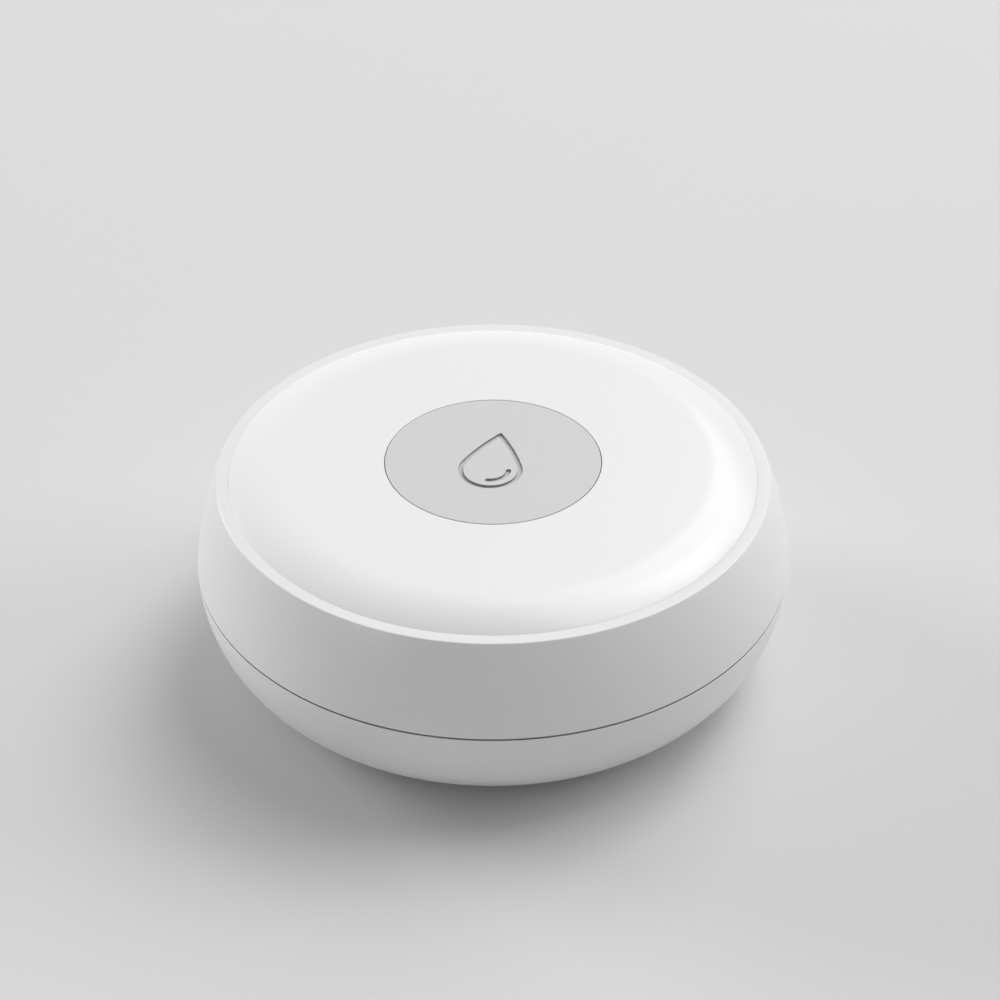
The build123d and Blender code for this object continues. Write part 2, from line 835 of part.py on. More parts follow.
makers = (
    upper_shell,
    top_cover,
    button_cap,
    button_boot,
    tact_switch,
    tact_plunger,
    circuit_board,
    board_screws,
    radio_module,
    radio_shield,
    chip_antenna,
    sensing_chip,
    chip_capacitors,
    status_led,
    buzzer_case,
    buzzer_disc,
    coin_cell,
    cell_contact_negative,
    cell_contact_positive,
    probe_contacts,
    lower_shell,
    housing_seal,
    housing_screws,
    screw_plugs,
    probe_pins,
    probe_seals,
    probe_clips,
    battery_door,
    door_seal,
)

os.makedirs("parts", exist_ok=True)
for make in makers:
    export_step(make(), f"parts/{make.__name__}.step")
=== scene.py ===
from math import atan2, cos, degrees, pi, radians, sin, sqrt, tan

import bmesh
import bpy
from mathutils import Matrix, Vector

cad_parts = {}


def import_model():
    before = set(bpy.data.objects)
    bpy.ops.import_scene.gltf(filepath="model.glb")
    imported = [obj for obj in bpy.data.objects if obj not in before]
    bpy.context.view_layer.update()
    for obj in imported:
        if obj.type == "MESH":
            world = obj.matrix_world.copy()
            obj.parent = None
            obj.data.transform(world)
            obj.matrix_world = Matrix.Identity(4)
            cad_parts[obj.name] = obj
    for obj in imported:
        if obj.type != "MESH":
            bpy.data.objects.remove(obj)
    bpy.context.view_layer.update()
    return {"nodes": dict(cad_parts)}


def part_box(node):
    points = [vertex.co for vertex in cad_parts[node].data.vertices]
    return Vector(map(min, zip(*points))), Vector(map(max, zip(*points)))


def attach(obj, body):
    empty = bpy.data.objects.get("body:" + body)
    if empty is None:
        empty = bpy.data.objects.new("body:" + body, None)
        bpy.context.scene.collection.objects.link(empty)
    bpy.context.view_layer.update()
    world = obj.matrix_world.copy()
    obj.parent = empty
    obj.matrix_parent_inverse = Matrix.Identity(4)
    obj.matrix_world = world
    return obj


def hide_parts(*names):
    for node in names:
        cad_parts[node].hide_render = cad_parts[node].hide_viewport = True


# A round water leak sensor: the looks of its housing, button, probes and what lies inside.
# Lengths are in metres. +Z points up, and the drop on the button is read from the -Y side.

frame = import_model()

mm = 0.001

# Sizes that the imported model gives
base_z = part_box("battery_door")[0].z
rim_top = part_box("upper_shell")[1].z
crown_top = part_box("top_cover")[1].z
cover_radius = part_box("top_cover")[1].x
collar_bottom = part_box("button_boot")[1].z
collar_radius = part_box("button_boot")[1].x
button_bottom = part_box("button_cap")[0].z
flange_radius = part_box("button_cap")[1].x
door_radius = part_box("battery_door")[1].x
neck_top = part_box("battery_door")[1].z
lip_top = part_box("lower_shell")[1].z
plug_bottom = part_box("screw_plugs")[0].z
plug_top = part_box("screw_plugs")[1].z
probe_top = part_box("probe_pins")[1].z

# Housing
body_radius = 30.0 * mm
flat_base_radius = 21.0 * mm
lower_top = 11.7 * mm
upper_bottom = 11.85 * mm
side_bulge = 0.35 * mm
side_wall = 1.8 * mm
base_thickness = 2.0 * mm
rim_outer_radius = 27.55 * mm
deck_top = 16.8 * mm
deck_bottom = 15.4 * mm
deck_hole_radius = 9.5 * mm
rim_round = 0.14 * mm
rim_inner_round = 0.015 * mm
parting_round = 0.03 * mm
shadow_fall = 0.5 * mm  # how far the lower rim falls away behind its edge

# Sealing rim of the lower housing
lip_outer = 27.7 * mm
lip_inner = 26.7 * mm
rim_flange_depth = 1.8 * mm
seal_inner = 28.2 * mm
seal_outer = 29.2 * mm
seal_depth = 1.0 * mm

# Battery bay
door_gap = 0.12 * mm
recess_depth = 1.75 * mm
ledge_radius = 13.45 * mm
ledge_top = 3.4 * mm
bay_radius = 14.3 * mm
bay_outer_radius = 16.62 * mm
bay_top = 9.3 * mm

# Top cover
crown_slope_width = 4.87 * mm
cover_thickness = 1.8 * mm
skirt_wall = 1.2 * mm
cover_edge_round = 0.015 * mm
cover_gap = 0.01 * mm
button_hole_radius = 10.84 * mm
flange_bore_radius = 11.8 * mm
guide_bottom = 18.8 * mm

# Button
button_radius = 10.77 * mm
button_wall = 1.2 * mm
button_top_thickness = 1.6 * mm
button_edge_round = 0.05 * mm
flange_top = 18.75 * mm
stem_radius = 2.0 * mm
stem_bottom = 16.3 * mm

# Drop engraved in the button
drop_centre = (-0.26 * mm, -1.67 * mm)
drop_radius = 3.2 * mm
drop_tip_distance = 6.6 * mm
drop_tip_round = 0.2 * mm
drop_shoulder = 21.0  # degrees
drop_turn = -9.3  # degrees
island_tip_round = 0.1 * mm
groove_width = 0.5 * mm
groove_depth = 0.25 * mm
groove_round = 0.02 * mm
stroke_radius = 1.8 * mm
stroke_width = 0.5 * mm
stroke_start = -99.0  # degrees
stroke_end = -6.0  # degrees

# Battery door
door_top = 2.2 * mm
door_round = 0.15 * mm
neck_inner = 12.55 * mm
neck_outer = 13.35 * mm
coin_slot_length = 16.0 * mm
coin_slot_width = 2.2 * mm
coin_slot_depth = 0.9 * mm
coin_slot_round = 0.12 * mm

# Marks for locking the door
pointer_angle = 247.5  # degrees, with the door locked
unlock_turn = 45.0  # degrees
pointer_margin = 0.7 * mm
pointer_length = 1.9 * mm
pointer_half_width = 1.1 * mm
mark_radius = 0.7 * mm
mark_hole_radius = 0.35 * mm
mark_distance = 1.4 * mm  # from the door's recess
mark_depth = 0.3 * mm

# Plugs and probes
plug_circle_radius = 18.7 * mm
plug_angles = (0, 90, 180, 270)
plug_radius = 2.05 * mm
plug_recess_radius = 2.1 * mm
plug_round = 0.25 * mm
plug_dimple_radius = 0.9 * mm
plug_dimple_depth = 0.2 * mm
probe_circle_radius = 18.9 * mm
probe_angles = (45, 135, 225, 315)
probe_head_radius = 1.7 * mm
probe_pin_radius = 1.0 * mm
probe_round = 0.2 * mm

# Modelling
round_steps = 192  # facets round the housing
small_steps = 48  # facets round a plug or probe
arc_steps = 28  # facets along a long curve
bend_steps = 5  # facets along a rounded edge
weld = 0.0005 * mm
face_band = 0.03 * mm  # an edge this near to a flat face belongs to it
overrun = 1.0 * mm  # how far a cutter stands out of what it cuts
smooth_angle = radians(35)


def ellipse(centre, wide, high, start, end, steps=arc_steps):
    """Points on an ellipse between two angles in degrees."""
    turns = [radians(start + (end - start) * number / steps) for number in range(steps + 1)]
    return [(centre[0] + wide * cos(turn), centre[1] + high * sin(turn)) for turn in turns]


def arc(centre, radius, start, end, steps=arc_steps):
    """Points on a circle between two angles in degrees."""
    return ellipse(centre, radius, radius, start, end, steps)


def circle(centre, radius, steps=arc_steps):
    """Points once round a circle."""
    return arc(centre, radius, 0, 360, steps)[:-1]


def on_circle(radius, angle):
    """X and Y of a place on a circle about the middle axis."""
    return radius * cos(radians(angle)), radius * sin(radians(angle))


def through(first, middle, last):
    """Points on the circle through three points, from the first to the last."""
    (ax, ay), (bx, by), (cx, cy) = first, middle, last
    double_area = 2 * (ax * (by - cy) + bx * (cy - ay) + cx * (ay - by))
    a_square, b_square, c_square = ax * ax + ay * ay, bx * bx + by * by, cx * cx + cy * cy
    x = (a_square * (by - cy) + b_square * (cy - ay) + c_square * (ay - by)) / double_area
    y = (a_square * (cx - bx) + b_square * (ax - cx) + c_square * (bx - ax)) / double_area
    radius = Vector((ax - x, ay - y)).length
    return arc((x, y), radius, degrees(atan2(ay - y, ax - x)), degrees(atan2(cy - y, cx - x)))


def corner(before, point, after, rounding):
    """Points of the arc that rounds one corner."""
    here = Vector(point)
    back = (Vector(before) - here).normalized()
    onward = (Vector(after) - here).normalized()
    half = back.angle(onward) / 2
    centre = here + (back + onward).normalized() * rounding / sin(half)
    first = here + back * rounding / tan(half) - centre
    last = here + onward * rounding / tan(half) - centre
    start = degrees(atan2(first.y, first.x))
    return arc(centre, rounding, start, start - degrees(first.angle_signed(last)), bend_steps)


def rounded(points, roundings):
    """Closed outline whose corners are rounded where the second list gives their number a radius."""
    outline = []
    for number, point in enumerate(points):
        if number in roundings:
            after = points[(number + 1) % len(points)]
            outline += corner(points[number - 1], point, after, roundings[number])
        else:
            outline.append(point)
    return outline


def deselect():
    """Nothing selected, so that an operator acts on the new piece alone."""
    for item in bpy.context.selected_objects:
        item.select_set(False)


def select_only(piece):
    """Selects one piece and makes it the one that operators act on."""
    deselect()
    piece.select_set(True)
    bpy.context.view_layer.objects.active = piece


def edit(piece, kind):
    """Opens a piece for editing its vertices, edges or faces, with none of them selected."""
    select_only(piece)
    bpy.ops.object.mode_set(mode="EDIT")
    bpy.ops.mesh.select_mode(type=kind)
    bpy.ops.mesh.select_all(action="DESELECT")
    return bmesh.from_edit_mesh(piece.data)


def start_line(name, first):
    """New piece with a single vertex, in edit mode."""
    deselect()
    bpy.ops.mesh.primitive_plane_add(size=mm, location=first)
    piece = bpy.context.object
    piece.name = name
    piece.data.name = name
    bpy.ops.object.transform_apply(location=True, rotation=True, scale=True)
    bpy.ops.object.mode_set(mode="EDIT")
    bpy.ops.mesh.select_mode(type="VERT")
    bpy.ops.mesh.select_all(action="SELECT")
    bpy.ops.mesh.merge(type="CENTER")
    return piece


def draw_line(points):
    """Extrudes the selected vertex from point to point."""
    for before, after in zip(points, points[1:]):
        step = tuple(Vector(after) - Vector(before))
        bpy.ops.mesh.extrude_vertices_move(TRANSFORM_OT_translate={"value": step})


def weld_and_face_out():
    """Merges doubled vertices and turns every face outwards, in edit mode."""
    bpy.ops.mesh.select_all(action="SELECT")
    bpy.ops.mesh.remove_doubles(threshold=weld)
    bpy.ops.mesh.normals_make_consistent(inside=False)


def turned(name, outline, steps=round_steps, centre=(0.0, 0.0)):
    """Turned piece: a closed outline of radius and height, spun about an upright axis."""
    points = [(centre[0] + radius, centre[1], height) for radius, height in outline]
    piece = start_line(name, points[0])
    on_axis = outline[0][0] == 0
    draw_line(points if on_axis else points + points[:1])
    bpy.ops.mesh.select_all(action="SELECT")
    bpy.ops.mesh.remove_doubles(threshold=weld)
    bpy.ops.mesh.select_all(action="SELECT")
    bpy.ops.mesh.spin(steps=steps, angle=2 * pi, center=(*centre, 0), axis=(0, 0, 1))
    weld_and_face_out()
    bpy.ops.object.mode_set(mode="OBJECT")
    return piece


def prism(name, points, low, high):
    """Upright closed prism over an outline of X and Y."""
    piece = start_line(name, (*points[0], low))
    draw_line([(x, y, low) for x, y in points])
    bpy.ops.mesh.select_all(action="SELECT")
    bpy.ops.mesh.edge_face_add()
    bpy.ops.mesh.extrude_region_move(TRANSFORM_OT_translate={"value": (0, 0, high - low)})
    weld_and_face_out()
    bpy.ops.object.mode_set(mode="OBJECT")
    return piece


def cut(piece, cutter):
    """Cuts a closed cutter out of a piece and removes the cutter."""
    select_only(piece)
    modifier = piece.modifiers.new("cut", "BOOLEAN")
    modifier.operation = "DIFFERENCE"
    modifier.solver = "EXACT"
    modifier.object = cutter
    bpy.ops.object.modifier_apply(modifier=modifier.name)
    bpy.data.objects.remove(cutter)


def join_flat(piece, height):
    """Joins the faces that lie flat at one height into a single face, so that it shades evenly."""
    shape = edit(piece, "FACE")
    for face in shape.faces:
        if all(abs(vertex.co.z - height) < weld for vertex in face.verts):
            face.select_set(True)
    bmesh.update_edit_mesh(piece.data)
    bpy.ops.mesh.dissolve_faces()
    bpy.ops.object.mode_set(mode="OBJECT")


def soften(piece, height, reach, rounding):
    """Rounds the sharp edges of the flat face at one height, within reach of the middle axis."""
    shape = edit(piece, "EDGE")
    for edge in shape.edges:
        level = all(abs(vertex.co.z - height) <= face_band for vertex in edge.verts)
        near = all(vertex.co.xy.length <= reach for vertex in edge.verts)
        if level and near and edge.calc_face_angle(0) > smooth_angle:
            edge.select_set(True)
    bmesh.update_edit_mesh(piece.data)
    bpy.ops.mesh.bevel(offset=rounding, segments=bend_steps, profile=0.5, affect="EDGES")
    weld_and_face_out()
    bpy.ops.object.mode_set(mode="OBJECT")


def finish_shape(piece):
    """Clears the slivers that cuts leave, then shades smooth with crisp corners and flats that stay flat."""
    edit(piece, "VERT")
    weld_and_face_out()
    bpy.ops.mesh.dissolve_degenerate(threshold=weld)
    bpy.ops.object.mode_set(mode="OBJECT")
    bpy.ops.object.shade_smooth_by_angle(angle=smooth_angle)
    modifier = piece.modifiers.new("flats", "WEIGHTED_NORMAL")
    modifier.keep_sharp = True
    modifier.weight = 100  # the largest faces lead
    bpy.ops.object.modifier_apply(modifier=modifier.name)
    return piece


def copies_round(piece, angles, name):
    """Copies a small piece round the middle axis, each copy with its own mesh, and joins them."""
    pieces = [piece]
    for angle in angles[1:]:
        select_only(piece)
        bpy.ops.object.duplicate(linked=False)
        pieces.append(bpy.context.object)
        bpy.ops.object.mode_set(mode="EDIT")
        bpy.ops.mesh.select_all(action="SELECT")
        turn = radians(angles[0] - angle)  # a positive value turns clockwise here
        bpy.ops.transform.rotate(value=turn, orient_axis="Z", center_override=(0, 0, 0))
        bpy.ops.object.mode_set(mode="OBJECT")
    select_only(piece)
    for item in pieces:
        item.select_set(True)
    bpy.ops.object.join()
    piece.name = name
    return piece


def slot_outline(middle_line, width):
    """Outline with round ends along a line of points of X and Y."""
    line = [Vector(point) for point in middle_line]
    left, right = [], []
    for number, point in enumerate(line):
        ahead = line[min(number + 1, len(line) - 1)] - line[max(number - 1, 0)]
        side = Vector((-ahead.y, ahead.x)).normalized() * width / 2
        left.append(tuple(point + side))
        right.append(tuple(point - side))
    caps = []
    for end, before in ((line[-1], line[-2]), (line[0], line[1])):
        facing = end - before
        angle = degrees(atan2(facing.y, facing.x))
        caps.append(arc(end, width / 2, angle + 90, angle - 90, bend_steps * 2)[1:-1])
    return left + caps[0] + right[::-1] + caps[1]


def drop_outline(inset, tip_round):
    """Outline of the water drop in X and Y, moved inwards by an inset."""
    shoulder = Vector(on_circle(drop_radius, drop_shoulder))
    # The flank leaves the round end along its tangent: its circle's centre lies on the line from
    # the shoulder through the round end's centre, as far from the tip as from the shoulder.
    inward = -shoulder.normalized()
    chord = Vector((0.0, drop_tip_distance)) - shoulder
    flank_radius = chord.length_squared / (2 * chord.dot(inward))
    centre = shoulder + inward * flank_radius
    flank_radius -= inset
    # The tip's small arc touches both flanks from the inside, with its centre on the drop's axis.
    reach = flank_radius - tip_round
    tip_rise = sqrt(reach * reach - centre.x * centre.x)
    tip_angle = degrees(atan2(tip_rise, -centre.x))
    right_flank = arc(centre, flank_radius, drop_shoulder, tip_angle)
    left_flank = [(-x, y) for x, y in reversed(right_flank)]
    tip = arc((0.0, centre.y + tip_rise), tip_round, tip_angle, 180 - tip_angle, bend_steps)
    round_end = arc((0.0, 0.0), drop_radius - inset, 180 - drop_shoulder, 360 + drop_shoulder)
    outline = right_flank[:-1] + tip[:-1] + left_flank[:-1] + round_end[:-1]
    turn = radians(drop_turn)
    return [
        (
            drop_centre[0] + x * cos(turn) - y * sin(turn),
            drop_centre[1] + x * sin(turn) + y * cos(turn),
        )
        for x, y in outline
    ]


def drop_groove():
    """Cutter for the groove round the drop."""
    low = crown_top - groove_depth
    piece = prism("drop_groove", drop_outline(0, drop_tip_round), low, crown_top + overrun)
    island = drop_outline(groove_width, island_tip_round)
    cut(piece, prism("drop_island", island, low - overrun, crown_top + 2 * overrun))
    return piece


def highlight_stroke():
    """Cutter for the curved stroke in the drop."""
    outline = slot_outline(arc(drop_centre, stroke_radius, stroke_start, stroke_end), stroke_width)
    return prism("highlight_stroke", outline, crown_top - groove_depth, crown_top + overrun)


def upper_shell():
    """White upper housing: barrelled side, flat light rim and the deck inside."""
    belly_radius = (body_radius + rim_outer_radius) / 2 + side_bulge
    middle_z = (upper_bottom + rim_top) / 2
    side = through(
        (body_radius, upper_bottom),
        (belly_radius, middle_z),
        (rim_outer_radius, rim_top),
    )
    inner = through(
        (body_radius - side_wall, upper_bottom),
        (belly_radius - side_wall, middle_z),
        (rim_outer_radius - side_wall, rim_top),
    )
    inner = [point for point in inner if point[1] < deck_bottom]
    seat_radius = cover_radius + cover_gap
    rim = [(seat_radius, rim_top), (seat_radius, deck_top)]
    deck = [(deck_hole_radius, deck_top), (deck_hole_radius, deck_bottom)]
    under_deck = [(inner[-1][0], deck_bottom)]
    points = side + rim + deck + under_deck + inner[::-1]
    last_side = len(side) - 1
    roundings = {0: parting_round, last_side: rim_round, last_side + 1: rim_inner_round}
    return finish_shape(turned("upper_housing", rounded(points, roundings)))


def top_cover():
    """Domed disc with its skirt and the collar that guides the button."""
    fall = crown_top - rim_top
    reach = crown_slope_width
    radius = (reach * reach + fall * fall) / (2 * fall)
    centre = (cover_radius - reach, crown_top - radius)
    crown = arc(centre, radius, 90, degrees(atan2(rim_top - centre[1], reach)))
    under = crown_top - cover_thickness
    skirt_inner = cover_radius - skirt_wall
    points = crown + [
        (cover_radius, deck_top),
        (skirt_inner, deck_top),
        (skirt_inner, under),
        (collar_radius, under),
        (collar_radius, collar_bottom),
        (flange_bore_radius, collar_bottom),
        (flange_bore_radius, guide_bottom),
        (button_hole_radius, guide_bottom),
        (button_hole_radius, crown_top),
    ]
    roundings = {len(crown) - 1: cover_edge_round, len(points) - 1: button_edge_round}
    return finish_shape(turned("domed_cover", rounded(points, roundings)))


def button_cap():
    """Flush grey button with the engraved drop."""
    room_radius = button_radius - button_wall
    room_top = crown_top - button_top_thickness
    points = [
        (0.0, crown_top),
        (button_radius, crown_top),
        (button_radius, flange_top),
        (flange_radius, flange_top),
        (flange_radius, button_bottom),
        (room_radius, button_bottom),
        (room_radius, room_top),
        (stem_radius, room_top),
        (stem_radius, stem_bottom),
        (0.0, stem_bottom),
    ]
    piece = turned("grey_button", rounded(points, {1: button_edge_round}))
    join_flat(piece, crown_top)
    cut(piece, drop_groove())
    cut(piece, highlight_stroke())
    soften(piece, crown_top, room_radius, groove_round)
    return finish_shape(piece)


def engraved_dot(place):
    """Cutter for the round mark where the door is locked."""
    return prism("locked_mark", circle(place, mark_radius), base_z - overrun, base_z + mark_depth)


def engraved_ring(place):
    """Cutter for the ring mark where the door comes free."""
    ring = engraved_dot(place)
    middle = circle(place, mark_hole_radius)
    cut(ring, prism("mark_middle", middle, base_z - 2 * overrun, base_z + overrun))
    return ring


def engraved_pointer():
    """Cutter for the triangle on the door that points at the marks."""
    tip_distance = door_radius - pointer_margin
    outward = Vector(on_circle(1.0, pointer_angle))
    across = Vector((-outward.y, outward.x)) * pointer_half_width
    tip = outward * tip_distance
    foot = outward * (tip_distance - pointer_length)
    outline = [tuple(tip), tuple(foot + across), tuple(foot - across)]
    return prism("pointer", outline, base_z - overrun, base_z + mark_depth)


def lower_shell():
    """White lower housing, curved in to a flat base with the door's recess and the plugs' recesses."""
    centre = (flat_base_radius, lower_top)
    side = ellipse(centre, body_radius - flat_base_radius, lower_top - base_z, 270, 360)
    floor_top = base_z + base_thickness
    inner_wide = body_radius - side_wall - flat_base_radius
    inner = ellipse(centre, inner_wide, lower_top - floor_top, 270, 360)
    flange_bottom = lower_top - rim_flange_depth
    inner = [point for point in inner if point[1] < flange_bottom]
    recess_radius = door_radius + door_gap
    recess_top = base_z + recess_depth
    # The rim falls away behind its outer edge, so that the parting line reads as a dark hairline.
    rim = [
        (body_radius - shadow_fall, lower_top - shadow_fall),
        (seal_outer, lower_top - shadow_fall),
        (seal_outer, lower_top - seal_depth),
        (seal_inner, lower_top - seal_depth),
        (seal_inner, lower_top),
        (lip_outer, lower_top),
        (lip_outer, lip_top),
        (lip_inner, lip_top),
        (lip_inner, flange_bottom),
        (inner[-1][0], flange_bottom),
    ]
    bay = [
        (bay_outer_radius, floor_top),
        (bay_outer_radius, bay_top),
        (bay_radius, bay_top),
        (bay_radius, ledge_top),
        (ledge_radius, ledge_top),
        (ledge_radius, recess_top),
        (recess_radius, recess_top),
        (recess_radius, base_z),
    ]
    points = side + rim + inner[::-1] + bay
    roundings = {len(side) - 1: parting_round, len(points) - 1: door_round}
    piece = turned("lower_housing", rounded(points, roundings))
    for angle in plug_angles:
        recess = circle(on_circle(plug_circle_radius, angle), plug_recess_radius, small_steps)
        cut(piece, prism("plug_recess", recess, base_z - overrun, plug_top))
    mark_circle = recess_radius + mark_distance
    cut(piece, engraved_dot(on_circle(mark_circle, pointer_angle)))
    cut(piece, engraved_ring(on_circle(mark_circle, pointer_angle - unlock_turn)))
    return finish_shape(piece)


def battery_door():
    """Round door with its coin slot and pointer."""
    points = [
        (0.0, base_z),
        (door_radius, base_z),
        (door_radius, door_top),
        (neck_outer, door_top),
        (neck_outer, neck_top),
        (neck_inner, neck_top),
        (neck_inner, door_top),
        (0.0, door_top),
    ]
    piece = turned("coin_slot_door", rounded(points, {1: door_round}))
    join_flat(piece, base_z)
    half = (coin_slot_length - coin_slot_width) / 2
    outline = slot_outline([(-half, 0.0), (0.0, 0.0), (half, 0.0)], coin_slot_width)
    cut(piece, prism("coin_slot", outline, base_z - overrun, base_z + coin_slot_depth))
    soften(piece, base_z, coin_slot_length, coin_slot_round)
    cut(piece, engraved_pointer())
    return finish_shape(piece)


def screw_plugs():
    """Soft plugs with rounded edges and a dimple."""
    points = [
        (0.0, plug_bottom + plug_dimple_depth),
        (plug_dimple_radius, plug_bottom + plug_dimple_depth),
        (plug_dimple_radius, plug_bottom),
        (plug_radius, plug_bottom),
        (plug_radius, plug_top),
        (0.0, plug_top),
    ]
    outline = rounded(points, {1: plug_round / 2, 2: plug_dimple_depth / 2, 3: plug_round})
    place = on_circle(plug_circle_radius, plug_angles[0])
    piece = finish_shape(turned("plug", outline, small_steps, place))
    return copies_round(piece, plug_angles, "rubber_plugs")


def probe_pins():
    """Turned metal pins with rounded heads."""
    points = [
        (0.0, 0.0),
        (probe_head_radius, 0.0),
        (probe_head_radius, base_z),
        (probe_pin_radius, base_z),
        (probe_pin_radius, probe_top),
        (0.0, probe_top),
    ]
    place = on_circle(probe_circle_radius, probe_angles[0])
    piece = finish_shape(turned("probe", rounded(points, {1: probe_round}), small_steps, place))
    return copies_round(piece, probe_angles, "metal_probes")


# Materials. A mould's texture and the lines of rolled metal are finer than the eye makes out at this
# distance, so each grain is drawn at 0.12 to 1.2 mm, coarse enough to show.
plastic_ior = 1.53
shade_drift = 14.0 * mm  # how far a material's shade takes to drift
board_shade_drift = 2.8 * mm
thread = 0.5 * mm  # of the glass cloth in the boards, drawn about twice as wide as it is
thread_relief = 0.01 * mm
ring_pitch = 0.12 * mm  # of the lathe's rings on the probes, drawn about twice as wide as they are


def linear(colour):
    """sRGB hex colour as linear red, green, blue and alpha."""
    channels = [int(colour[place:place + 2], 16) / 255 for place in (1, 3, 5)]
    # The sRGB curve: a straight line near black, a power above it.
    bent = [c / 12.92 if c <= 0.04045 else ((c + 0.055) / 1.055) ** 2.4 for c in channels]
    return (*bent, 1.0)


def add(tree, kind, values=None, links=None, **settings):
    """Adds a shader node with its settings, input values and links."""
    node = tree.nodes.new(kind)
    for key, value in settings.items():
        setattr(node, key, value)
    for key, value in (values or {}).items():
        node.inputs[key].default_value = value
    for key, (source, output) in (links or {}).items():
        tree.links.new(source.outputs[output], node.inputs[key])
    return node


def new_material(name):
    """Empty material with its shader, its output and the piece's own coordinates."""
    material = bpy.data.materials.new(name)
    material.use_nodes = True
    tree = material.node_tree
    tree.nodes.clear()
    shader = add(tree, "ShaderNodeBsdfPrincipled")
    add(tree, "ShaderNodeOutputMaterial", links={"Surface": (shader, "BSDF")})
    place = add(tree, "ShaderNodeTexCoord")
    return material, tree, shader, place


def texture(tree, shader, pattern, depth, roughness):
    """Lets a pattern raise the surface by up to a depth and move its roughness between two values."""
    low, high = roughness
    shine = add(tree, "ShaderNodeMapRange", {"To Min": low, "To Max": high}, {"Value": (pattern, "Fac")})
    bump = add(tree, "ShaderNodeBump", {"Distance": depth}, {"Height": (pattern, "Fac")})
    tree.links.new(shine.outputs["Result"], shader.inputs["Roughness"])
    tree.links.new(bump.outputs["Normal"], shader.inputs["Normal"])


def grain(tree, shader, source, output, size, depth, roughness):
    """Fine grain of one size all over, with a little finer grain in it."""
    noise = add(
        tree,
        "ShaderNodeTexNoise",
        {"Scale": 1 / size, "Detail": 3.0, "Roughness": 0.6},
        {"Vector": (source, output)},
    )
    texture(tree, shader, noise, depth, roughness)


def tint(tree, shader, place, size, shades):
    """Slow drift of colour between two close shades."""
    noise = add(
        tree,
        "ShaderNodeTexNoise",
        {"Scale": 1 / size, "Detail": 2.0},
        {"Vector": (place, "Object")},
    )
    shade = add(
        tree,
        "ShaderNodeMix",
        {"A": linear(shades[0]), "B": linear(shades[1])},
        {"Factor": (noise, "Fac")},
        data_type="RGBA",
    )
    tree.links.new(shade.outputs["Result"], shader.inputs["Base Color"])
    return shade


def moulded(name, shades, grain_size, grain_depth, roughness):
    """Moulded plastic or rubber: the mould's fine texture breaks up its gloss, its shade barely drifts."""
    material, tree, shader, place = new_material(name)
    shader.inputs["IOR"].default_value = plastic_ior
    grain(tree, shader, place, "Object", grain_size, grain_depth, roughness)
    tint(tree, shader, place, shade_drift, shades)
    return material


def metal(name, shades, grain_size, grain_depth, roughness, stretch=(1, 1, 1)):
    """Worked or plated metal: the marks that this left, packed closer along the stretched axes."""
    material, tree, shader, place = new_material(name)
    shader.inputs["Metallic"].default_value = 1.0
    drawn = add(tree, "ShaderNodeMapping", {"Scale": stretch}, {"Vector": (place, "Object")})
    grain(tree, shader, drawn, "Vector", grain_size, grain_depth, roughness)
    tint(tree, shader, place, shade_drift, shades)
    return material


def laminate(name, shades):
    """Solder mask over woven glass: glossy, and the cloth's threads show through as a fine check."""
    material, tree, shader, place = new_material(name)
    cloth = add(
        tree,
        "ShaderNodeTexBrick",
        {"Scale": 1 / thread, "Mortar Size": 0.12, "Brick Width": 1.0, "Row Height": 1.0},
        {"Vector": (place, "Object")},
    )
    bump = add(tree, "ShaderNodeBump", {"Distance": thread_relief}, {"Height": (cloth, "Fac")})
    tree.links.new(bump.outputs["Normal"], shader.inputs["Normal"])
    tint(tree, shader, place, board_shade_drift, shades)
    shader.inputs["Roughness"].default_value = 0.28
    return material


def white_housing():
    """White ABS moulded in a finely eroded tool: satin, with soft highlights."""
    return moulded(
        "abs_satin_white",
        shades=("#E4E4E4", "#E7E7E7"),
        grain_size=0.22 * mm,
        grain_depth=0.001 * mm,
        roughness=(0.28, 0.36),
    )


def white_cover():
    """White ABS moulded in a smoother tool: a little glossier than the housing."""
    return moulded(
        "abs_smooth_white",
        shades=("#EAEAEA", "#ECECEC"),
        grain_size=0.35 * mm,
        grain_depth=0.0006 * mm,
        roughness=(0.22, 0.28),
    )


def grey_button():
    """Light-grey ABS moulded matt; the groove's steep walls are painted a darker grey, as painted shade for
    the shadow inside the groove.
    """
    material, tree, shader, place = new_material("abs_matt_grey")
    shader.inputs["IOR"].default_value = plastic_ior
    grain(tree, shader, place, "Object", size=0.2 * mm, depth=0.0012 * mm, roughness=(0.46, 0.54))
    shade = tint(tree, shader, place, shade_drift, ("#CBCBCB", "#CDCDCD"))
    # The normal's upright part is 1 on the flat top and 0 on an upright wall.
    facing_up = add(tree, "ShaderNodeSeparateXYZ", links={0: (place, "Normal")})
    wall_shade_mask = add(
        tree,
        "ShaderNodeMapRange",
        {"From Min": 0.9, "From Max": 0.3},
        {"Value": (facing_up, "Z")},
    )
    # Painted shade: the steep walls of the groove are coloured dark grey to stand for the shadow that falls
    # inside it.
    painted_wall_shade = add(
        tree,
        "ShaderNodeMix",
        {"B": linear("#929292")},
        {"Factor": (wall_shade_mask, "Result"), "A": (shade, "Result")},
        data_type="RGBA",
    )
    tree.links.new(painted_wall_shade.outputs["Result"], shader.inputs["Base Color"])
    return material


def white_door():
    """White ABS moulded in the housing's texture, a touch coarser for grip."""
    return moulded(
        "abs_textured_white",
        shades=("#E4E4E4", "#E8E8E8"),
        grain_size=0.3 * mm,
        grain_depth=0.003 * mm,
        roughness=(0.44, 0.52),
    )


